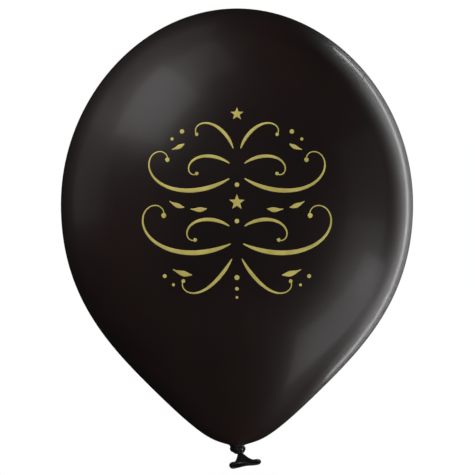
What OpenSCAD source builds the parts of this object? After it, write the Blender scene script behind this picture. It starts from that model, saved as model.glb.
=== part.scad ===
// Tied latex balloon: a gas-filled envelope, its gathered neck, an overhand knot and a flared tail
// that ends in a rolled lip, with a raised gold ornament printed on the front.
// The origin is at the tie, where the neck meets the knot. +Z runs up the balloon's axis,
// and the print faces -Y.

/* [Balloon] */
// Widest diameter of the inflated balloon
balloon_d = 300; // [240:5:340]
// Height from the tie to the crown
balloon_h = 372; // [340:2:400]
// Thickness of the modelled skin
skin_wall = 0.4; // [0.35:0.05:0.8]
// Radius of the envelope where it gathers into the neck
throat_r = 6.25; // [5.5:0.05:7]

/* [Knot] */
// Diameter of the gathered strand that the knot is tied in
strand_d = 2.9; // [2.2:0.05:2.9]

/* [Tail] */
// Width of the flattened mouth over its rolled lip
mouth_w = 27.4; // [22:0.2:30]
// Diameter of the rolled lip
lip_d = 2.5; // [1.8:0.1:2.6]
// Distance between the two long sides of the lip, centre to centre
lip_gap = 4.8; // [3.8:0.1:5.4]
// Thickness of the tail's wall
tail_wall = 0.45; // [0.35:0.05:0.6]
// Slope of the mouth's long axis, up towards +X
mouth_slope = 8; // [0:0.1:15]

/* [Print] */
// Thickness of the ink
ink_t = 0.12; // [0.08:0.01:0.2]

/* [Hidden] */

latex_color = "#1c1513";
gold_color = "#b3a44a";

// The outline is drawn at these sizes and scaled to the driving ones.
design_r = 150;
design_h = 372;
scale_r = balloon_d / 2 / design_r;
scale_h = balloon_h / design_h;

// Outline of half the balloon, as radius and height, in three cubic curves.
crown_reach = 80;
widest_z = 205;
crown_rise = 91;
flank_drop = 74;
flank_end = [76.5, 52.5];
flank_slope = [sin(45), cos(45)];
flank_pull = 52.5;
low_pull = 69.5;
low_slope = [cos(17.6), sin(17.6)];
throat_pull = 16;
curve_steps = 20;

// The neck closes the throat like a cushion, down to the strand.
neck_drop = 1.1;
neck_steps = 8;
joint_gap = 0.1;

// The strand's route, from the neck round the overhand knot to the tail.
lead_in = [-0.5, 0.1, 0.8];
knot_route = [
    [0, 0, -neck_drop - joint_gap], [-0.3, 0.1, -3], [0, -0.1, -5.2], [1.1, 0.3, -7],
    [3, 1.9, -7.6], [4.9, 3.1, -6.2], [6.2, 2.9, -4], [6, 1.1, -2.3],
    [4.3, -1.2, -2.4], [2.6, -2.9, -2.8], [0, -3.3, -4.6], [-2.3, -3, -4.1],
    [-4.2, -1.7, -3.6], [-4.7, 0.4, -3.5], [-3.1, 2.8, -3.8], [-0.2, 3.4, -4.3],
    [2.5, 1.7, -4.8], [4.1, -0.7, -5.35], [4, -2.7, -6.5]];
// The strand's width and thickness at each point of its route, as shares of its diameter:
// thin round the loop on the right, spread to a wide band round the left.
knot_sizes = [
    [1, 1], [0.95, 0.95], [0.93, 0.93], [0.9, 0.9],
    [0.86, 0.86], [0.83, 0.83], [0.8, 0.8], [0.8, 0.8],
    [0.85, 0.85], [0.9, 0.87], [2.3, 0.9], [2.05, 0.92],
    [1.7, 0.92], [1.6, 0.92], [1.45, 0.9], [1.15, 0.9],
    [0.95, 0.93], [0.92, 0.92], [0.95, 0.95]];
// How the band's width is turned about the strand, so that it stands upright round the left.
strand_roll = -20;
route_steps = 6;
strand_sides = 16;

// The tail hinges about the middle of its stem.
stem_centre = [3.2, -4.2, -8];
stem_r = 1.5;
mouth_centre = [6.95, -11.9, -14.9];
mouth_axis = [cos(mouth_slope), 0, sin(mouth_slope)];
tail_axis = mouth_centre - stem_centre;
tail_side = unit(cross(tail_axis, mouth_axis));
tail_bow = -0.3;
stem_half_w = 2.85;
stem_half_t = 1.3;
// The tail widens evenly, and flares faster over its last stretch.
even_flare = 5;
flare_power = 4;
sleeve_start = 0.2;
sleeve_steps = 8;
arc_steps = 10;
side_steps = 6;
lip_sides = 12;

// The ink lies a hair above the skin, so that its flat facets clear the curve below.
ink_gap = 0.08;
hairline = 0.4;
tip_half = 0.08;
stroke_steps = 48;
leaf_steps = 10;

// Strokes: [x, z, heading, length, first bend, last bend, tightening, width, ball radius, swell],
// with the heading in degrees and the bends in degrees per millimetre.
upper_scrolls = [
    [6, 224, -32, 104, 0.9, 12.5, 4, 3.4, 1.8, 0.5],
    [6, 236, 36, 50, -1.8, -22, 4, 2.6, 1.4, 0.55],
    [3, 248, 72, 48, -1.6, -17.5, 4, 2.6, 1.4, 0.55]];
lower_scrolls = [
    [5, 172, -26, 116, 0.8, 11.2, 4, 3.8, 2, 0.5],
    [6, 186, 34, 52, -1.8, -19, 4, 2.8, 1.5, 0.55],
    [4, 160, -62, 60, 0.7, 14.5, 4, 2.8, 1.5, 0.55]];
// Leaves: [x, z, heading, length, bend, width].
leaves = [
    [36, 147, 4, 16, 1.5, 4.4], [24, 200, -14, 13, 2, 3.8],
    [42, 201, 10, 13, 2, 3.6], [42, 252, -35, 11, 2, 3.4]];
// Stars and dots: [x, z, radius].
stars = [[0, 205, 6.5], [0, 276, 5.5]];
middle_dots = [[0, 219, 1.8], [0, 190, 1.8], [0, 145, 2], [0, 136, 1.5], [0, 129, 1.1]];
side_dots = [[44, 262, 1.8], [52, 256, 1.3], [58, 146, 1.6], [51, 139, 1.2]];
star_points = 5;
star_waist = 0.42;
dot_sides = 20;
badge_scales = [0.05, 0.4, 0.7, 1];

function unit(v) = v / norm(v);

function reversed(list) = [for (i = [len(list) - 1 : -1 : 0]) list[i]];

function without_first(list) = [for (i = [1 : len(list) - 1]) list[i]];

function bezier(p, steps) = [
    for (i = [0 : steps])
        let (t = i / steps, s = 1 - t)
            s * s * s * p[0] + 3 * s * s * t * p[1] + 3 * s * t * t * p[2] + t * t * t * p[3]];

// The outer outline, from the crown down to the throat.
outline = [
    for (p = concat(
        bezier([[0, design_h], [crown_reach, design_h],
            [design_r, widest_z + crown_rise], [design_r, widest_z]], curve_steps),
        without_first(bezier([[design_r, widest_z], [design_r, widest_z - flank_drop],
            flank_end + flank_pull * flank_slope, flank_end], curve_steps)),
        without_first(bezier([flank_end, flank_end - low_pull * flank_slope,
            [throat_r, 0] + throat_pull * low_slope, [throat_r, 0]], curve_steps))))
        [p.x == throat_r ? throat_r : p.x * scale_r, p.y * scale_h]];

// The same outline moved inwards by the skin's thickness, square to the skin.
inner_outline = [
    for (i = [0 : len(outline) - 1])
        i == 0 ? outline[i] - [0, skin_wall]
        : i == len(outline) - 1 ? outline[i] - [skin_wall, 0]
        : let (along = unit(outline[i + 1] - outline[i - 1]))
            outline[i] + skin_wall * [along.y, -along.x]];

radius_by_height = [for (p = reversed(outline)) [p.y, p.x]];

// A point of the print: x and z as seen from the front, at a height above the skin.
function on_skin(x, z, height) =
    let (px = x * scale_r, pz = z * scale_h, r = lookup(pz, radius_by_height) + height)
        [px, -sqrt(r * r - px * px), pz];

// A closed solid through a list of rings, each with the same number of points.
module loft(rings) {
    sides = len(rings[0]);
    last = (len(rings) - 1) * sides;
    polyhedron(
        points = [for (ring = rings) each ring],
        faces = concat(
            [[for (k = [0 : sides - 1]) k]],
            [for (i = [0 : len(rings) - 2], k = [0 : sides - 1])
                let (a = i * sides + k, b = i * sides + (k + 1) % sides)
                    [a, a + sides, b + sides, b]],
            [[for (k = [sides - 1 : -1 : 0]) last + k]]),
        convexity = 10);
}

// The same, with its last ring joined to its first.
module closed_loft(rings) {
    sides = len(rings[0]);
    count = len(rings);
    polyhedron(
        points = [for (ring = rings) each ring],
        faces = [
            for (i = [0 : count - 1], k = [0 : sides - 1])
                let (next = (i + 1) % count, l = (k + 1) % sides)
                    [i * sides + k, next * sides + k, next * sides + l, i * sides + l]],
        convexity = 10);
}

// A smooth curve through the points of a route, which starts as if it came from lead.
function smooth_route(route, lead, steps) =
    let (q = concat([lead], route, [2 * route[len(route) - 1] - route[len(route) - 2]]))
        concat(
            [for (i = [1 : len(q) - 3], k = [0 : steps - 1])
                let (t = k / steps)
                    (2 * q[i] + (q[i + 1] - q[i - 1]) * t
                        + (2 * q[i - 1] - 5 * q[i] + 4 * q[i + 1] - q[i + 2]) * t * t
                        + (3 * q[i] - q[i - 1] - 3 * q[i + 1] + q[i + 2]) * t * t * t) / 2],
            [route[len(route) - 1]]);

function directions(path) = [
    for (i = [0 : len(path) - 1])
        unit(path[min(i + 1, len(path) - 1)] - path[max(i - 1, 0)])];

// Side vectors that turn as little as possible along a path.
function side_vectors(along, first) = [
    for (i = 0, side = first; i < len(along);
        i = i + 1, side = i < len(along) ? unit(side - (side * along[i]) * along[i]) : side) side];

// The outline of a slot with round ends: half length of its flats, end radius, points per flat.
function slot_outline(half_flat, r, flat_steps) = concat(
    [for (k = [0 : arc_steps]) [half_flat, 0] + r * [cos(180 * k / arc_steps - 90),
        sin(180 * k / arc_steps - 90)]],
    [for (k = [1 : 1 : flat_steps - 1]) [half_flat - 2 * half_flat * k / flat_steps, r]],
    [for (k = [0 : arc_steps]) [-half_flat, 0] + r * [cos(180 * k / arc_steps + 90),
        sin(180 * k / arc_steps + 90)]],
    [for (k = [1 : 1 : flat_steps - 1]) [2 * half_flat * k / flat_steps - half_flat, -r]]);

function tail_centre(t) = stem_centre + t * tail_axis + tail_bow * sin(180 * t) * mouth_axis;

// One section of the tail's wall, inset from its outer face.
function sleeve_ring(t, inset) =
    let (last_flare = (mouth_w - lip_d) / 2 - stem_half_w - even_flare,
        half_w = stem_half_w + even_flare * t + last_flare * pow(t, flare_power),
        half_t = stem_half_t + t * (lip_gap / 2 - stem_half_t))
        [for (p = slot_outline(half_w - half_t, half_t - inset, 1))
            tail_centre(t) + p.x * mouth_axis + p.y * tail_side];

// Heading of a stroke after the share t of its length.
function stroke_heading(s, t) =
    s[2] + s[3] * (s[4] * t + (s[5] - s[4]) * pow(t, s[6] + 1) / (s[6] + 1));

// The way that a stroke goes between two shares of its length.
function stroke_step(s, from, to) =
    let (h = stroke_heading(s, (from + to) / 2)) s[3] * (to - from) * [cos(h), sin(h)];

// Half width of a stroke: a thick and thin line with a fine start and a ball at its end.
function stroke_half(s, t) =
    let (done = t * s[3], left = (1 - t) * s[3], swell = sin(180 * pow(t, s[9])),
        line = min(hairline + (s[7] / 2 - hairline) * swell * swell, sqrt(2 * hairline * done)),
        ball = sqrt(max(0, s[8] * s[8] - (left - s[8]) * (left - s[8]))))
        max(tip_half, left < s[8] ? ball : max(line, ball));

// A stroke printed on the skin, on the right (side 1) or mirrored to the left (side -1).
module stroke(s, side, steps) {
    shares = [for (i = [0 : steps]) (1 - cos(180 * i / steps)) / 2];
    path = [for (i = 0, p = [s[0], s[1]]; i <= steps;
        i = i + 1, p = i <= steps ? p + stroke_step(s, shares[i - 1], shares[i]) : p) p];
    loft([
        for (i = [0 : steps])
            let (h = stroke_heading(s, shares[i]), half = side * stroke_half(s, shares[i]),
                right = path[i] + half * [sin(h), -cos(h)], left = path[i] - half * [sin(h), -cos(h)])
                [on_skin(side * right.x, right.y, ink_gap), on_skin(side * left.x, left.y, ink_gap),
                    on_skin(side * left.x, left.y, ink_gap + ink_t),
                    on_skin(side * right.x, right.y, ink_gap + ink_t)]]);
}

module mirrored_strokes(list, steps) {
    for (s = list, side = [-1, 1])
        stroke(s, side, steps);
}

// A filled shape printed on the skin, from its outline about a centre.
module badge(centre, shape) {
    function ring(size, height) = [
        for (p = shape) on_skin(centre[0] + size * p.x, centre[1] + size * p.y, height)];
    loft(concat(
        [for (size = badge_scales) ring(size, ink_gap)],
        [for (size = reversed(badge_scales)) ring(size, ink_gap + ink_t)]));
}

function star_shape(r) = [
    for (k = [0 : 2 * star_points - 1])
        let (a = 90 + 180 * k / star_points) r * (k % 2 == 0 ? 1 : star_waist) * [cos(a), sin(a)]];

function dot_shape(r) = [
    for (k = [0 : dot_sides - 1]) r * [cos(360 * k / dot_sides), sin(360 * k / dot_sides)]];

// The inflated skin, open at the throat.
module envelope() {
    color(latex_color)
        rotate_extrude($fn = 180)
            polygon(concat(outline, reversed(inner_outline)));
}

// The gathered cushion that closes the throat down to the strand.
module neck() {
    strand_r = strand_d / 2;
    outer = bezier([[throat_r, 0], [throat_r - 0.8, -neck_drop * 0.72],
        [strand_r + 1.8, -neck_drop * 0.9], [strand_r, -neck_drop]], neck_steps);
    inner = [for (p = outer) [max(0, p.x - skin_wall), min(0, p.y + skin_wall)]];
    color(latex_color)
        rotate_extrude($fn = 96)
            polygon(concat([[0, -neck_drop]], reversed(outer), inner,
                [[0, inner[neck_steps].y]]));
}

// The gathered strand, tied in an overhand knot.
module knot() {
    path = smooth_route(knot_route, lead_in, route_steps);
    sizes = strand_d / 2 * smooth_route(knot_sizes, knot_sizes[0], route_steps);
    along = directions(path);
    sides = side_vectors(along, [cos(strand_roll), sin(strand_roll), 0]);
    color(latex_color)
        loft([for (i = [0 : len(path) - 1])
            [for (k = [0 : strand_sides - 1])
                let (a = 360 * k / strand_sides)
                    path[i] + sizes[i].x * cos(a) * sides[i]
                        + sizes[i].y * sin(a) * cross(along[i], sides[i])]]);
}

// The pinched bundle where the tail leaves the knot.
module tail_stem() {
    color(latex_color)
        translate(stem_centre)
            sphere(r = stem_r, $fn = 48);
}

// The flattened, flared end of the neck, closed at its stem and open at its mouth.
module tail_sleeve() {
    shares = [for (i = [0 : sleeve_steps]) sleeve_start + (1 - sleeve_start) * i / sleeve_steps];
    floor_share = sleeve_start + tail_wall / norm(tail_axis);
    color(latex_color)
        loft(concat(
            [for (t = shares) sleeve_ring(t, 0)],
            [for (t = reversed(shares)) sleeve_ring(max(t, floor_share), tail_wall)]));
}

// The bead of latex rolled up round the mouth.
module rolled_lip() {
    path = slot_outline((mouth_w - lip_d - lip_gap) / 2, lip_gap / 2, side_steps);
    count = len(path);
    facing = cross(mouth_axis, tail_side);
    color(latex_color)
        closed_loft([
            for (i = [0 : count - 1])
                let (step = unit(path[(i + 1) % count] - path[(i + count - 1) % count]),
                    out = step.y * mouth_axis - step.x * tail_side,
                    middle = mouth_centre + path[i].x * mouth_axis + path[i].y * tail_side)
                    [for (k = [0 : lip_sides - 1])
                        let (a = 360 * k / lip_sides)
                            middle + lip_d / 2 * (cos(a) * facing + sin(a) * out)]]);
}

module print_upper_scrolls() {
    color(gold_color)
        mirrored_strokes(upper_scrolls, stroke_steps);
}

module print_lower_scrolls() {
    color(gold_color)
        mirrored_strokes(lower_scrolls, stroke_steps);
}

// Leaves are strokes with one bend and no ball.
module print_leaves() {
    color(gold_color)
        mirrored_strokes([for (l = leaves) [l[0], l[1], l[2], l[3], l[4], l[4], 1, l[5], 0.01, 0.8]],
            leaf_steps);
}

module print_stars() {
    color(gold_color)
        for (s = stars)
            badge(s, star_shape(s[2]));
}

module print_dots() {
    color(gold_color)
        for (d = concat(middle_dots, side_dots, [for (d = side_dots) [-d[0], d[1], d[2]]]))
            badge(d, dot_shape(d[2]));
}

envelope();
neck();
knot();
tail_stem();
tail_sleeve();
rolled_lip();
print_upper_scrolls();
print_lower_scrolls();
print_leaves();
print_stars();
print_dots();
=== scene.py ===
"""Looks for the tied latex balloon: its skin, neck, overhand knot, flared tail and gold print."""

import math

import bpy
import numpy as np
from mathutils import Matrix, Vector


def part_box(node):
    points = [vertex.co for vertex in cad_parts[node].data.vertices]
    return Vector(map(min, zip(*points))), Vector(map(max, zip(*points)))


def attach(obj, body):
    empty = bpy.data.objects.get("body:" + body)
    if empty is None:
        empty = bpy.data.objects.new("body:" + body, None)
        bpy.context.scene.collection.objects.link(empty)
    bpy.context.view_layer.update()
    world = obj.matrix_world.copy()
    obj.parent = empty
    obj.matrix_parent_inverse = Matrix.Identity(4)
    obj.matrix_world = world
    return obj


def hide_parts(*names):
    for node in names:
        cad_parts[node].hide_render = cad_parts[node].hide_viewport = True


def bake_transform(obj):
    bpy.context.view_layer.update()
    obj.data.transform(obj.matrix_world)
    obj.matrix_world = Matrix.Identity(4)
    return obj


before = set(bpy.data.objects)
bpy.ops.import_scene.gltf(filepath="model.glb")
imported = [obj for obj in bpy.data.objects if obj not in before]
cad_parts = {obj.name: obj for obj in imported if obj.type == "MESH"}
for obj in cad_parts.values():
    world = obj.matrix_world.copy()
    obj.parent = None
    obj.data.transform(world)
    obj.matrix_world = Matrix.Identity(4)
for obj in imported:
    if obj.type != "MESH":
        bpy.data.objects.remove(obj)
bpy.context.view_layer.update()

MM = 0.001

# ---------------------------------------------------------------- the frame's own sizes

SKIN_LOW, SKIN_HIGH = (np.array(corner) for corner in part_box("envelope"))
BALLOON_R = (SKIN_HIGH[0] - SKIN_LOW[0]) / 2
BALLOON_H = SKIN_HIGH[2]
STEM_LOW, STEM_HIGH = (np.array(corner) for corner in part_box("tail_stem"))
STEM_CENTRE = (STEM_LOW + STEM_HIGH) / 2

# The outline is drawn at these sizes, in millimetres, and scaled to the frame's.
DESIGN_R = 150
DESIGN_H = 372
SCALE_R = BALLOON_R / (DESIGN_R * MM)
SCALE_H = BALLOON_H / (DESIGN_H * MM)
THROAT_R = 6.25
FOLD_DEPTH = 0.30
FOLD_LEVEL = 0.5
FLANK_END = np.array([76.5, 52.5])
FLANK_SLOPE = np.array([math.sin(math.radians(45)), math.cos(math.radians(45))])
LOW_SLOPE = np.array([math.cos(math.radians(17.6)), math.sin(math.radians(17.6))])

# The strand of gathered latex, in millimetres.
STRAND_R = 1.45

# The strand's route, in millimetres, from the neck round the overhand knot to the tail.
LEAD_IN = (-0.5, 0.1, 0.8)
KNOT_ROUTE = [
    (0, 0, -1.2), (-0.3, 0.1, -3), (0, -0.1, -5.2), (1.1, 0.3, -7),
    (3, 1.9, -7.6), (4.9, 3.1, -6.2), (6.2, 2.9, -4), (6, 1.1, -2.3),
    (4.3, -1.2, -2.4), (2.6, -2.9, -2.8), (0, -3.3, -4.6), (-2.3, -3, -4.1),
    (-4.2, -1.7, -3.6), (-4.7, 0.4, -3.5), (-3.1, 2.8, -3.8), (-0.2, 3.4, -4.3),
    (2.5, 1.7, -4.8), (4.1, -0.7, -5.35), (4, -2.7, -6.5)]
# The strand's width and thickness at each point, as shares of its diameter.
KNOT_SIZES = [
    (1, 1), (0.95, 0.95), (0.93, 0.93), (0.9, 0.9),
    (0.86, 0.86), (0.83, 0.83), (0.8, 0.8), (0.8, 0.8),
    (0.85, 0.85), (0.9, 0.87), (2.3, 0.9), (2.05, 0.92),
    (1.7, 0.92), (1.6, 0.92), (1.45, 0.9), (1.15, 0.9),
    (0.95, 0.93), (0.92, 0.92), (0.95, 0.95)]
STRAND_ROLL = math.radians(-20)

# The tail, in millimetres.
MOUTH_W = 27.4
LIP_D = 2.5
LIP_GAP = 4.8
MOUTH_SLOPE = math.radians(8)
MOUTH_CENTRE = np.array([6.95, -11.9, -14.9])
MOUTH_AXIS = np.array([math.cos(MOUTH_SLOPE), 0, math.sin(MOUTH_SLOPE)])
TAIL_AXIS = MOUTH_CENTRE - STEM_CENTRE / MM
TAIL_SIDE = np.cross(TAIL_AXIS, MOUTH_AXIS)
TAIL_SIDE = TAIL_SIDE / np.linalg.norm(TAIL_SIDE)
TAIL_BOW = -0.3
STEM_HALF_W = 2.85
EVEN_FLARE = 5
FLARE_POWER = 4

# Strokes of the print, in millimetres and degrees: x, z, heading, length, first bend and last bend in
# degrees per millimetre, tightening, width, radius of the end ball, and where the stroke is thickest.
UPPER_SCROLLS = [
    (6, 224, -32, 104, 0.9, 12.5, 4, 3.4, 1.8, 0.5),
    (6, 236, 36, 50, -1.8, -22, 4, 2.6, 1.4, 0.55),
    (3, 248, 72, 48, -1.6, -17.5, 4, 2.6, 1.4, 0.55)]
LOWER_SCROLLS = [
    (5, 172, -26, 116, 0.8, 11.2, 4, 3.8, 2, 0.5),
    (6, 186, 34, 52, -1.8, -19, 4, 2.8, 1.5, 0.55),
    (4, 160, -62, 60, 0.7, 14.5, 4, 2.8, 1.5, 0.55)]
# Leaves: x, z, heading, length, bend, width.
LEAVES = [
    (36, 147, 4, 16, 1.5, 4.4), (24, 200, -14, 13, 2, 3.8),
    (42, 201, 10, 13, 2, 3.6), (42, 252, -35, 11, 2, 3.4)]
# Stars and dots: x, z, radius.
STARS = [(0, 205, 6.5), (0, 276, 5.5)]
MIDDLE_DOTS = [(0, 219, 1.8), (0, 190, 1.8), (0, 145, 2), (0, 136, 1.5), (0, 129, 1.1)]
SIDE_DOTS = [(44, 262, 1.8), (52, 256, 1.3), (58, 146, 1.6), (51, 139, 1.2)]
# The ink, in millimetres: finest line, smallest half width, gap to the skin, edge and middle thickness.
HAIRLINE = 0.4
NEEDLE = 0.03
INK_GAP = 0.08
INK_EDGE = 0.05
INK_CROWN = 0.16


# ---------------------------------------------------------------- meshes


def unit(v):
    return v / np.linalg.norm(v)


def make_mesh(name, vertices, faces, material, smooth=True):
    """A mesh object from points in metres and lists of corners."""
    mesh = bpy.data.meshes.new(name)
    mesh.from_pydata(np.asarray(vertices, float).tolist(), [], faces)
    mesh.validate()
    mesh.polygons.foreach_set("use_smooth", [smooth] * len(mesh.polygons))
    mesh.materials.append(material)
    mesh.update()
    piece = bpy.data.objects.new(name, mesh)
    bpy.context.collection.objects.link(piece)
    return piece


def band_faces(ring_count, sides, first=0, closed=False):
    """The quads between neighbouring rings of points."""
    faces = []
    for i in range(ring_count if closed else ring_count - 1):
        a = first + i * sides
        b = first + (i + 1) % ring_count * sides
        for k in range(sides):
            n = (k + 1) % sides
            faces.append((a + k, a + n, b + n, b + k))
    return faces


def fan_faces(start, sides, tip, facing_back):
    """The triangles between one ring and a point."""
    if facing_back:
        return [(start + (k + 1) % sides, start + k, tip) for k in range(sides)]
    return [(start + k, start + (k + 1) % sides, tip) for k in range(sides)]


def loft(rings, tips):
    """A closed solid through rings of points, each end closed to a tip."""
    sides = len(rings[0])
    vertices = np.concatenate([np.concatenate(rings), np.array(tips)])
    faces = band_faces(len(rings), sides)
    count = len(rings) * sides
    faces += fan_faces(0, sides, count, True)
    faces += fan_faces(count - sides, sides, count + 1, False)
    return vertices, faces


def bezier(p, steps):
    t = np.linspace(0, 1, steps + 1)[:, None]
    s = 1 - t
    p = np.array(p, float)
    return s ** 3 * p[0] + 3 * s * s * t * p[1] + 3 * s * t * t * p[2] + t ** 3 * p[3]


def smoothstep(low, high, x):
    t = np.clip((x - low) / (high - low), 0, 1)
    return t * t * (3 - 2 * t)


# ---------------------------------------------------------------- the balloon's outline


def outline(steps):
    """Radius and height in metres, from the crown down to the throat."""
    crown = bezier([(0, 372), (80, 372), (150, 296), (150, 205)], steps)
    flank = bezier([(150, 205), (150, 131), FLANK_END + 52.5 * FLANK_SLOPE, FLANK_END], steps)
    low = bezier([FLANK_END, FLANK_END - 69.5 * FLANK_SLOPE,
                  np.array([THROAT_R, 0]) + 16 * LOW_SLOPE, (THROAT_R, 0)], steps)
    return np.concatenate([crown, flank[1:], low[1:]]) * (SCALE_R * MM, SCALE_H * MM)


FINE_OUTLINE = outline(200)[::-1]
ROUND_SIDES = 288


def radius_at(z):
    return np.interp(z, FINE_OUTLINE[:, 1], FINE_OUTLINE[:, 0])


def fold_wave(angle):
    """Uneven folds round the throat, from -1 to 1."""
    return 0.6 * np.cos(17 * angle + 0.8) + 0.4 * np.cos(11 * angle + 2.1)


def gathers(z, angle):
    """How far the skin stands proud, in metres, in the folds that run up from the throat."""
    fading = 9 * MM
    depth = FOLD_DEPTH * MM * np.exp(-np.maximum(z, 0) / fading)
    return depth * (fold_wave(angle) - FOLD_LEVEL)


def outward(profile):
    """Unit normals of a profile of radius and height that runs downwards."""
    along = np.gradient(profile, axis=0)
    along /= np.linalg.norm(along, axis=1)[:, None]
    return np.stack([-along[:, 1], along[:, 0]], 1)


def skin_rings(profile, normals, sides, inset):
    """Rings of points round the axis, with the gathers in them."""
    angle = np.linspace(0, 2 * math.pi, sides, endpoint=False)
    rings = []
    for (r, z), (nr, nz) in zip(profile, normals):
        proud = gathers(z, angle) - inset
        rr = r + nr * proud
        rings.append(np.stack([rr * np.cos(angle), rr * np.sin(angle), z + nz * proud], 1))
    return rings


def build_envelope(material):
    """The inflated skin: an outer and an inner face that meet round the throat."""
    wall = 0.4 * MM
    outer = outline(44)
    inner = outline(16)
    rings = skin_rings(outer[1:], outward(outer)[1:], ROUND_SIDES, 0)
    rings += skin_rings(inner[1:], outward(inner)[1:], ROUND_SIDES, wall)[::-1]
    rings = [ring[::-1] for ring in rings]
    tips = [(0, 0, outer[0, 1]), (0, 0, outer[0, 1] - wall)]
    return make_mesh("envelope_skin", *loft(rings, tips), material)


def build_neck(material):
    """The gathered cushion between the throat and the knot, with its folds drawn in to the strand."""
    cushion_steps, spout_steps = 30, 10
    into_skin = 0.12
    cushion = bezier([(THROAT_R + 0.35, into_skin), (THROAT_R - 0.1, -1.7), (STRAND_R + 3, -2),
                      (STRAND_R + 0.8, -1.9)], cushion_steps)
    spout = bezier([(STRAND_R + 0.8, -1.9), (STRAND_R + 0.3, -1.9), (STRAND_R + 0.05, -2),
                    (STRAND_R + 0.05, -2.5)], spout_steps)
    profile = np.concatenate([cushion, spout[1:]]) * MM
    normals = outward(profile)
    angle = np.linspace(0, 2 * math.pi, ROUND_SIDES, endpoint=False)
    rings = []
    for i, ((r, z), (nr, nz)) in enumerate(zip(profile, normals)):
        share = i / (cushion_steps + spout_steps)
        wound = angle + 0.9 * share ** 2
        depth = (FOLD_DEPTH - 0.14 * share) * MM
        sunk = 0.10 * MM * (1 - smoothstep(0, 0.15, share))
        proud = depth * (fold_wave(wound) - FOLD_LEVEL) - sunk
        rr = r + nr * proud
        rings.append(np.stack([rr * np.cos(angle), rr * np.sin(angle), z + nz * proud], 1))
    rings = [ring[::-1] for ring in rings]
    tips = [(0, 0, profile[0, 1]), (0, 0, profile[-1, 1])]
    piece = make_mesh("neck_gathers", *loft(rings, tips), material)
    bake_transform(piece)
    return piece


# ---------------------------------------------------------------- the knot


def smooth_route(route, lead, steps):
    """A smooth curve through the points of a route, which starts as if it came from lead."""
    route = [np.array(p, float) for p in route]
    q = [np.array(lead, float)] + route + [2 * route[-1] - route[-2]]
    points = []
    for i in range(1, len(q) - 2):
        for t in np.arange(steps) / steps:
            points.append((2 * q[i] + (q[i + 1] - q[i - 1]) * t
                           + (2 * q[i - 1] - 5 * q[i] + 4 * q[i + 1] - q[i + 2]) * t * t
                           + (3 * q[i] - q[i - 1] - 3 * q[i + 1] + q[i + 2]) * t ** 3) / 2)
    return np.array(points + [route[-1]])


def path_frames(path, first):
    """Directions, side vectors that turn as little as possible, and distances along a path."""
    along = np.gradient(path, axis=0)
    along /= np.linalg.norm(along, axis=1)[:, None]
    side = np.array(first, float)
    sides = []
    for a in along:
        side = unit(side - (side @ a) * a)
        sides.append(side)
    sides = np.array(sides)
    run = np.r_[0, np.cumsum(np.linalg.norm(np.diff(path, axis=0), axis=1))]
    return along, sides, np.cross(along, sides), run


def strand_rings(path, sizes, first, sides):
    """Rings of gathered latex: long folds that wind slowly, and creases inside the bends."""
    crease_gap = 0.95
    along, u, v, run = path_frames(path, first)
    turn = np.gradient(along, axis=0) / np.gradient(run)[:, None]
    angle = np.linspace(0, 2 * math.pi, sides, endpoint=False)
    rings = []
    for i in range(len(path)):
        inner = np.clip(np.cos(angle) * (u[i] @ turn[i]) + np.sin(angle) * (v[i] @ turn[i]), 0, None)
        wound = angle + 0.10 * run[i]
        folds = (0.030 * np.cos(5 * wound) + 0.022 * np.cos(8 * wound + 1.3)
                 + 0.012 * np.cos(13 * wound + 0.4))
        creases = 0.08 * inner * sizes[i].mean() * np.cos(2 * math.pi * run[i] / crease_gap) ** 2
        size = (0.965 + folds - creases)[:, None] * sizes[i]
        rings.append(path[i] + size[:, :1] * np.cos(angle)[:, None] * u[i]
                     + size[:, 1:] * np.sin(angle)[:, None] * v[i])
    return rings


def build_knot(material):
    """The gathered strand, tied in an overhand knot."""
    steps = 22
    path = smooth_route(KNOT_ROUTE, LEAD_IN, steps)
    sizes = STRAND_R * smooth_route(KNOT_SIZES, KNOT_SIZES[0], steps)
    rings = strand_rings(path, sizes, (math.cos(STRAND_ROLL), math.sin(STRAND_ROLL), 0), 96)
    rings = [ring * MM for ring in rings]
    tips = [path[0] * MM, path[-1] * MM]
    piece = make_mesh("overhand_knot", *loft(rings, tips), material)
    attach(piece, "knot")
    return piece


def build_stem(material):
    """The pinched bundle where the tail leaves the knot."""
    end = np.array(KNOT_ROUTE[-1], float)
    back = unit(end - np.array(KNOT_ROUTE[-2], float))
    stem = STEM_CENTRE / MM
    path = bezier([end - 0.7 * back, end + 0.3 * back, stem - 0.4 * unit(TAIL_AXIS),
                   stem + 0.9 * unit(TAIL_AXIS)], 30)
    swell = 1.38 + 0.12 * np.sin(math.pi * np.linspace(0, 1, len(path)))
    rings = strand_rings(path, np.stack([swell, swell], 1), (1, 0, 0), 72)
    rings = [ring * MM for ring in rings]
    piece = make_mesh("tail_stem_bundle", *loft(rings, [path[0] * MM, path[-1] * MM]), material)
    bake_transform(piece)
    return piece


# ---------------------------------------------------------------- the tail


def tail_centre(t):
    return STEM_CENTRE / MM + t * TAIL_AXIS + TAIL_BOW * math.sin(math.pi * t) * MOUTH_AXIS


def slot_points(half_w, half_t, count):
    """Points round a slot with round ends, evenly spaced, as x and y."""
    flat = half_w - half_t
    total = 4 * flat + 2 * math.pi * half_t
    points = []
    for k in range(count):
        s = (k / count * total + math.pi * half_t / 2) % total
        if s < math.pi * half_t:
            a = s / half_t - math.pi / 2
            points.append((flat + half_t * math.cos(a), half_t * math.sin(a)))
        elif s < math.pi * half_t + 2 * flat:
            points.append((flat - (s - math.pi * half_t), half_t))
        elif s < 2 * math.pi * half_t + 2 * flat:
            a = (s - 2 * flat) / half_t - math.pi / 2
            points.append((-flat + half_t * math.cos(a), half_t * math.sin(a)))
        else:
            points.append((-flat + (s - 2 * math.pi * half_t - 2 * flat), -half_t))
    return np.array(points)


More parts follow.
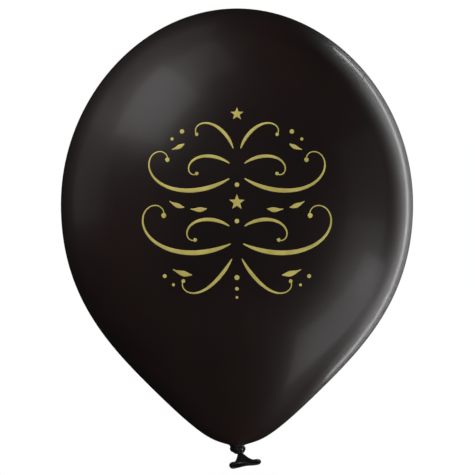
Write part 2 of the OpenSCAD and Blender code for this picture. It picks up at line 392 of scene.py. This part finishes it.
def mouth_section(t, inset, count):
    """One section of the tail: flat, pinched in its middle, with folds that fan out of the stem."""
    start_w, start_t = 2.0, 1.3
    last_flare = (MOUTH_W - LIP_D) / 2 - STEM_HALF_W - EVEN_FLARE
    share = max(t, 0)
    half_w = start_w + (STEM_HALF_W - start_w) * smoothstep(-0.12, 0.05, t)
    half_w += EVEN_FLARE * share + last_flare * share ** FLARE_POWER
    half_t = start_t + share * (LIP_GAP / 2 - start_t)
    points = slot_points(half_w, half_t - inset, count)
    across = points[:, 0] / half_w
    face = np.sign(points[:, 1]) * (1 - across ** 2)
    pinch = 1 - 0.42 * smoothstep(0.2, 1, t) * np.exp(-(across / 0.5) ** 2)
    pinch -= 0.16 * smoothstep(0.2, 1, t) * across
    depth = 0.34 * (1 - 0.75 * smoothstep(0, 1, t)) * smoothstep(-0.05, 0.15, t)
    fold = depth * (0.6 * np.cos(13 * across + 0.7)
                    + 0.4 * np.cos(23 * across + 2.0 + np.sign(points[:, 1])))
    points[:, 1] = points[:, 1] * pinch + fold * face
    return points


def place_section(t, points):
    return (tail_centre(t) + points[:, :1] * MOUTH_AXIS + points[:, 1:] * TAIL_SIDE) * MM


def build_sleeve(material):
    """The flattened, flared end of the neck, hollow from its mouth up to the stem."""
    wall = 0.4
    count = 160
    overlap = 0.12
    shares = np.linspace(-overlap, 1, 50)
    inner_shares = shares[shares > overlap]
    rings = [place_section(t, mouth_section(t, 0, count)) for t in shares]
    rings += [place_section(t, mouth_section(t, wall, count)) for t in inner_shares[::-1]]
    tips = [tail_centre(shares[0]) * MM, tail_centre(inner_shares[0]) * MM]
    piece = make_mesh("tail_sleeve_skin", *loft(rings, tips), material)
    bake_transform(piece)
    return piece


def build_lip(material):
    """The bead of latex rolled up round the mouth, with the groove of its last turn."""
    sides = 36
    stations = 220
    loop = mouth_section(1, 0, stations)
    step = np.roll(loop, -1, axis=0) - np.roll(loop, 1, axis=0)
    step /= np.linalg.norm(step, axis=1)[:, None]
    facing = np.cross(MOUTH_AXIS, TAIL_SIDE)
    angle = np.linspace(0, 2 * math.pi, sides, endpoint=False)
    rings = []
    for k in range(stations):
        out = step[k, 1] * MOUTH_AXIS - step[k, 0] * TAIL_SIDE
        middle = MOUTH_CENTRE + loop[k, 0] * MOUTH_AXIS + loop[k, 1] * TAIL_SIDE
        around = 2 * math.pi * k / stations
        groove = 0.10 * np.exp(-((angle - 2.4 - 0.25 * math.sin(2 * around)) / 0.16) ** 2)
        groove += 0.05 * np.exp(-((angle - 4.9 + 0.3 * math.sin(3 * around)) / 0.14) ** 2)
        r = LIP_D / 2 * (1 + 0.03 * math.sin(5 * around) + 0.02 * math.sin(9 * around + 1) - groove)
        rings.append((middle + r[:, None] * (np.cos(angle)[:, None] * facing
                                             + np.sin(angle)[:, None] * out)) * MM)
    vertices = np.concatenate(rings)
    piece = make_mesh("rolled_lip_bead", vertices, band_faces(stations, sides, closed=True), material)
    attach(piece, "tail")
    return piece


# ---------------------------------------------------------------- the print


def on_skin(x, z, height):
    """Points of the print, from x, z and height above the skin in millimetres, seen from the front."""
    px, pz = x * SCALE_R * MM, z * SCALE_H * MM
    r = radius_at(pz) + height * MM
    return np.stack([px, -np.sqrt(r * r - px * px), pz], -1)


def stroke_centre(s, steps):
    """Places, headings and shares of length along a stroke whose bend tightens towards its end."""
    start_x, start_z, first_heading, length, first_bend, last_bend, tightening = s[:7]
    pieces = 3000
    fine = np.linspace(0, 1, pieces + 1)
    power = tightening + 1
    bent = first_bend * fine + (last_bend - first_bend) * fine ** power / power
    heading = np.radians(first_heading + length * bent)
    x = start_x + np.r_[0, np.cumsum((np.cos(heading[1:]) + np.cos(heading[:-1])) / 2 * length / pieces)]
    z = start_z + np.r_[0, np.cumsum((np.sin(heading[1:]) + np.sin(heading[:-1])) / 2 * length / pieces)]
    t = (1 - np.cos(np.pi * np.arange(steps + 1) / steps)) / 2
    return np.interp(t, fine, x), np.interp(t, fine, z), np.interp(t, fine, heading), t


def stroke_half(s, t):
    """Half width: thick and thin, with a fine start and a ball at the end."""
    length, width, ball_r, swell = s[3], s[7], s[8], s[9]
    done, left = t * length, (1 - t) * length
    line = HAIRLINE + (width / 2 - HAIRLINE) * np.sin(np.pi * t ** swell) ** 2
    line = np.minimum(line, np.sqrt(2 * HAIRLINE * done))
    ball = np.sqrt(np.maximum(0, ball_r ** 2 - (left - ball_r) ** 2))
    return np.maximum(NEEDLE, np.where(left < ball_r, ball, np.maximum(line, ball)))


def stroke_solid(s, side, steps):
    """One stroke of ink with a slightly crowned top, mirrored to the left where side is -1."""
    x, z, heading, t = stroke_centre(s, steps)
    half = stroke_half(s, t)
    across = np.array([-1, -0.5, 0, 0.5, 1])
    crown = INK_EDGE + (INK_CROWN - INK_EDGE) * (1 - across ** 4)
    rings = []
    for i in range(len(t)):
        normal = np.array([-math.sin(heading[i]), math.cos(heading[i])])
        px = side * (x[i] + half[i] * across * normal[0])
        pz = z[i] + half[i] * across * normal[1]
        low = on_skin(px, pz, INK_GAP)
        thin = min(1, half[i] / 0.5)
        high = on_skin(px, pz, INK_GAP + INK_EDGE + (crown - INK_EDGE) * thin)
        ring = np.concatenate([low, high[::-1]])
        rings.append(ring[::-1] if side > 0 else ring)
    tips = [rings[0].mean(axis=0), rings[-1].mean(axis=0)]
    return loft(rings, tips)


def badge_solid(centre, shape):
    """A filled shape of ink, from its outline about a centre, with a soft edge."""
    rings = []
    for size in (0.3, 0.65, 1):
        rings.append(on_skin(centre[0] + size * shape[:, 0], centre[1] + size * shape[:, 1], INK_GAP))
    top = ((1, INK_EDGE), (0.93, 0.12), (0.8, INK_CROWN), (0.55, INK_CROWN), (0.3, INK_CROWN))
    for size, height in top:
        rings.append(on_skin(centre[0] + size * shape[:, 0], centre[1] + size * shape[:, 1],
                             INK_GAP + height))
    middle = np.array([centre[0]]), np.array([centre[1]])
    tips = [on_skin(*middle, INK_GAP)[0], on_skin(*middle, INK_GAP + INK_CROWN)[0]]
    return loft(rings, tips)


def star_shape(r):
    """A five-pointed star with its straight sides divided, so that they follow the skin."""
    angle = math.pi / 2 + math.pi * np.arange(10) / 5
    size = np.where(np.arange(10) % 2 == 0, r, 0.42 * r)
    corners = np.stack([size * np.cos(angle), size * np.sin(angle)], 1)
    return np.concatenate([corners[k] + (corners[(k + 1) % 10] - corners[k]) * np.arange(4)[:, None] / 4
                           for k in range(10)])


def dot_shape(r):
    angle = np.linspace(0, 2 * math.pi, 40, endpoint=False)
    return r * np.stack([np.cos(angle), np.sin(angle)], 1)


def print_piece(name, node, solids, material):
    """One printed layer, joined from its separate strokes."""
    vertices, faces, count = [], [], 0
    for points, corners in solids:
        vertices.append(points)
        faces += [tuple(count + c for c in corner) for corner in corners]
        count += len(points)
    piece = make_mesh(name, np.concatenate(vertices), faces, material)
    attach(piece, "balloon")
    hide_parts(node)
    return piece


def mirrored(strokes, steps):
    return [stroke_solid(s, side, steps) for s in strokes for side in (-1, 1)]


def build_print(material):
    leaf_strokes = [(x, z, heading, length, bend, bend, 1, width, 0.01, 0.8)
                    for x, z, heading, length, bend, width in LEAVES]
    dots = MIDDLE_DOTS + SIDE_DOTS + [(-x, z, r) for x, z, r in SIDE_DOTS]
    print_piece("ink_upper_scrolls", "print_upper_scrolls", mirrored(UPPER_SCROLLS, 150), material)
    print_piece("ink_lower_scrolls", "print_lower_scrolls", mirrored(LOWER_SCROLLS, 150), material)
    print_piece("ink_leaves", "print_leaves", mirrored(leaf_strokes, 40), material)
    print_piece("ink_stars", "print_stars", [badge_solid(s, star_shape(s[2])) for s in STARS], material)
    print_piece("ink_dots", "print_dots", [badge_solid(d, dot_shape(d[2])) for d in dots], material)


# ---------------------------------------------------------------- materials


def new_material(name):
    material = bpy.data.materials.new(name)
    material.use_nodes = True
    nodes = material.node_tree.nodes
    return material, nodes, material.node_tree.links, nodes["Principled BSDF"]


def noise(nodes, links, source, scale, detail, roughness=0.5):
    node = nodes.new("ShaderNodeTexNoise")
    node.inputs["Scale"].default_value = scale
    node.inputs["Detail"].default_value = detail
    node.inputs["Roughness"].default_value = roughness
    links.new(source, node.inputs["Vector"])
    return node.outputs["Fac"]


def ramp(nodes, links, source, stops):
    node = nodes.new("ShaderNodeValToRGB")
    elements = node.color_ramp.elements
    while len(elements) < len(stops):
        elements.new(0.5)
    for element, (position, color) in zip(elements, stops):
        element.position = position
        element.color = (*color, 1)
    links.new(source, node.inputs["Fac"])
    return node.outputs["Color"]


def spread(nodes, links, source, low, high):
    node = nodes.new("ShaderNodeMapRange")
    node.inputs["From Min"].default_value = 0.3
    node.inputs["From Max"].default_value = 0.7
    node.inputs["To Min"].default_value = low
    node.inputs["To Max"].default_value = high
    links.new(source, node.inputs["Value"])
    return node.outputs["Result"]


def bump(nodes, links, source, distance, strength, before=None):
    node = nodes.new("ShaderNodeBump")
    node.inputs["Strength"].default_value = strength
    node.inputs["Distance"].default_value = distance
    links.new(source, node.inputs["Height"])
    if before is not None:
        links.new(before, node.inputs["Normal"])
    return node.outputs["Normal"]


def object_place(nodes):
    return nodes.new("ShaderNodeTexCoord").outputs["Object"]


def latex_skin():
    """Stretched black latex: warm in the light, waxy gloss, a faint haze where it is thicker."""
    material, nodes, links, shader = new_material("latex_skin")
    place = object_place(nodes)
    cloud = noise(nodes, links, place, 14, 3)
    stops = [(0.3, (0.0100, 0.0038, 0.0032)), (0.7, (0.0128, 0.0050, 0.0042))]
    links.new(ramp(nodes, links, cloud, stops), shader.inputs["Base Color"])
    haze = noise(nodes, links, place, 40, 4)
    links.new(spread(nodes, links, haze, 0.38, 0.42), shader.inputs["Roughness"])
    grain = noise(nodes, links, place, 900, 3)
    links.new(bump(nodes, links, grain, 0.02 * MM, 0.04), shader.inputs["Normal"])
    shader.inputs["IOR"].default_value = 1.52
    shader.inputs["Coat Weight"].default_value = 0.2
    shader.inputs["Coat Roughness"].default_value = 0.13
    return material


def latex_gathered():
    """Unstretched latex of the neck, knot and tail: thicker, darker, with fine lines of its folds."""
    material, nodes, links, shader = new_material("latex_gathered")
    place = object_place(nodes)
    cloud = noise(nodes, links, place, 260, 4)
    stops = [(0.3, (0.0020, 0.0015, 0.0014)), (0.7, (0.0042, 0.0032, 0.0029))]
    links.new(ramp(nodes, links, cloud, stops), shader.inputs["Base Color"])
    haze = noise(nodes, links, place, 500, 4)
    links.new(spread(nodes, links, haze, 0.17, 0.23), shader.inputs["Roughness"])
    grain = noise(nodes, links, place, 2600, 3)
    fine = bump(nodes, links, grain, 0.03 * MM, 0.3)
    lines = noise(nodes, links, place, 900, 2)
    links.new(bump(nodes, links, lines, 0.06 * MM, 0.3, fine), shader.inputs["Normal"])
    shader.inputs["IOR"].default_value = 1.52
    shader.inputs["Coat Weight"].default_value = 0.5
    shader.inputs["Coat Roughness"].default_value = 0.12
    return material


def gold_ink():
    """Screen-printed gold ink: a fine flake, thin places where the skin has stretched it."""
    material, nodes, links, shader = new_material("gold_ink")
    place = object_place(nodes)
    cloud = noise(nodes, links, place, 90, 4)
    stops = [(0.30, (0.36, 0.290, 0.062)), (0.5, (0.405, 0.345, 0.078)), (0.72, (0.465, 0.410, 0.102))]
    links.new(ramp(nodes, links, cloud, stops), shader.inputs["Base Color"])
    haze = noise(nodes, links, place, 700, 3)
    links.new(spread(nodes, links, haze, 0.42, 0.6), shader.inputs["Roughness"])
    flake = noise(nodes, links, place, 3200, 2)
    links.new(bump(nodes, links, flake, 0.03 * MM, 0.35), shader.inputs["Normal"])
    shader.inputs["Metallic"].default_value = 0.15
    return material


def floor_material():
    material, nodes, links, shader = new_material("pale_floor")
    place = object_place(nodes)
    cloud = noise(nodes, links, place, 3, 3)
    links.new(ramp(nodes, links, cloud, [(0.3, (0.80, 0.80, 0.79)), (0.7, (0.84, 0.84, 0.83))]),
              shader.inputs["Base Color"])
    shader.inputs["Roughness"].default_value = 0.9
    return material


# ---------------------------------------------------------------- the stage


def area_light(name, direction, distance, size, power, target=(0, 0, 0.19), along=(0, 0, 1),
               spread=180):
    """A soft rectangular light that faces a target from a direction, its height along a given way."""
    data = bpy.data.lights.new(name, "AREA")
    data.shape = "RECTANGLE"
    data.size, data.size_y = size
    data.energy = power
    data.spread = math.radians(spread)
    light = bpy.data.objects.new(name, data)
    light.visible_camera = False
    bpy.context.collection.objects.link(light)
    way = Vector(direction).normalized()
    light.location = Vector(target) + way * distance
    facing = (-way).to_track_quat("-Z", "Y").to_matrix()
    height = facing.transposed() @ Vector(along)
    roll = Matrix.Rotation(math.atan2(-height.x, height.y), 3, "Z")
    light.rotation_euler = (facing @ roll).to_euler()
    return light


def soft_light(name, direction, distance, size, power, **placing):
    """A light whose brightness falls off at its edges: a wide pane with a small one in its middle."""
    for pane, scale, share in (("wide", 1.4, 0.55), ("core", 0.7, 0.45)):
        area_light(f"{name}_{pane}", direction, distance, (size[0] * scale, size[1] * scale),
                   power * share, **placing)


def rim_lights():
    """Strips end to end behind the balloon, mirrored as one bright line just inside its right edge."""
    distance, facing_camera, step = 1.2, 0.282, MM
    strips, top, bottom = 11, 0.328, 0.07
    watts_per_metre = 1.6
    spots, ways = [], []
    for z in np.linspace(top, bottom, strips):
        normal = unit(np.array([2 * step, radius_at(z - step) - radius_at(z + step)]))
        turn = math.asin(facing_camera / normal[0])
        spots.append((radius_at(z) * math.cos(turn), -radius_at(z) * math.sin(turn), z))
        way = 2 * facing_camera * np.array([normal[0] * math.cos(turn), -facing_camera, normal[1]])
        ways.append(unit(way + (0, 1, 0)))
    places = np.array(spots) + distance * np.array(ways)
    for i, (spot, way) in enumerate(zip(spots, ways)):
        run = np.gradient(places, axis=0)[i]
        length = np.linalg.norm(run)
        width = 0.09 + 0.05 * (i / strips) ** 2
        area_light(f"rim_strip_{i}", way, distance, (width, length), watts_per_metre * length,
                   target=spot, along=run)


def build_lights():
    soft_light("key_left", (-0.66, -0.20, 0.70), 1.2, (0.62, 0.5), 3.7)
    area_light("key_glow", (-0.60, 0.10, 0.75), 1.3, (1.7, 1.3), 1.1)
    area_light("left_glow", (-0.92, 0.30, 0.25), 1.2, (0.8, 0.8), 0.38)
    area_light("crown_glow", (-0.30, -0.10, 0.95), 1.2, (0.6, 0.6), 0.4)
    soft_light("low_right", (0.76, 0.25, -0.60), 0.43, (0.17, 0.34), 0.6, target=(0.08, -0.09, 0.105))
    area_light("right_glow", (0.93, -0.02, -0.30), 1.2, (0.8, 0.6), 0.6)
    area_light("right_high", (0.95, 0.0, 0.15), 1.2, (0.8, 0.8), 0.26)
    area_light("rim_glow", (0.68, 0.73, 0.02), 1.5, (0.35, 1.7), 1.05)
    rim_lights()
    knot = (0.004, -0.006, -0.013)
    area_light("knot_front", (0.35, -0.93, 0.1), 0.25, (0.03, 0.03), 0.003, target=knot, spread=12)
    area_light("knot_side", (0.70, -0.30, 0.65), 0.25, (0.03, 0.03), 0.005, target=knot, spread=16)


def build_world():
    """White to the camera, a soft even glow to the object's colour, and dark to its gloss."""
    world = bpy.data.worlds.new("studio")
    bpy.context.scene.world = world
    world.use_nodes = True
    nodes, links = world.node_tree.nodes, world.node_tree.links
    nodes.clear()
    out = nodes.new("ShaderNodeOutputWorld")
    rays = nodes.new("ShaderNodeLightPath")
    soft = nodes.new("ShaderNodeBackground")
    soft.inputs["Strength"].default_value = 1.2
    dark = nodes.new("ShaderNodeBackground")
    dark.inputs["Color"].default_value = (0.005, 0.005, 0.005, 1)
    white = nodes.new("ShaderNodeBackground")
    soft.inputs["Color"].default_value = (1, 1, 1, 1)
    white.inputs["Color"].default_value = (1, 1, 1, 1)
    gloss_mix = nodes.new("ShaderNodeMixShader")
    camera_mix = nodes.new("ShaderNodeMixShader")
    links.new(rays.outputs["Is Glossy Ray"], gloss_mix.inputs[0])
    links.new(soft.outputs[0], gloss_mix.inputs[1])
    links.new(dark.outputs[0], gloss_mix.inputs[2])
    links.new(rays.outputs["Is Camera Ray"], camera_mix.inputs[0])
    links.new(gloss_mix.outputs[0], camera_mix.inputs[1])
    links.new(white.outputs[0], camera_mix.inputs[2])
    links.new(camera_mix.outputs[0], out.inputs["Surface"])


def build_floor():
    size = 1.2
    drop = -0.36
    corners = [(-size, -size, drop), (size, -size, drop), (size, size, drop), (-size, size, drop)]
    floor = make_mesh("floor", corners, [(0, 1, 2, 3)], floor_material(), smooth=False)
    floor.visible_glossy = False


def build_camera():
    """Level with the balloon's middle, far off, looking along +Y."""
    data = bpy.data.cameras.new("camera")
    camera = bpy.data.objects.new("camera", data)
    bpy.context.collection.objects.link(camera)
    distance = 2.2
    view_height = 0.4053
    data.sensor_width = 36
    data.lens = data.sensor_width * distance / view_height
    camera.location = (0.00045, -distance, 0.177)
    camera.rotation_euler = (math.pi / 2, 0, 0)
    bpy.context.scene.camera = camera


# ---------------------------------------------------------------- putting it together

build_camera()
build_lights()
build_world()
build_floor()
bpy.context.scene.view_settings.view_transform = "Standard"

skin = latex_skin()
gathered = latex_gathered()
gold = gold_ink()

envelope = build_envelope(skin)
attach(envelope, "balloon")
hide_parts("envelope")

for build, node in ((build_neck, "neck"), (build_knot, "knot"), (build_stem, "tail_stem"),
                    (build_sleeve, "tail_sleeve"), (build_lip, "rolled_lip")):
    piece = build(gathered)
    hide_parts(node)

build_print(gold)
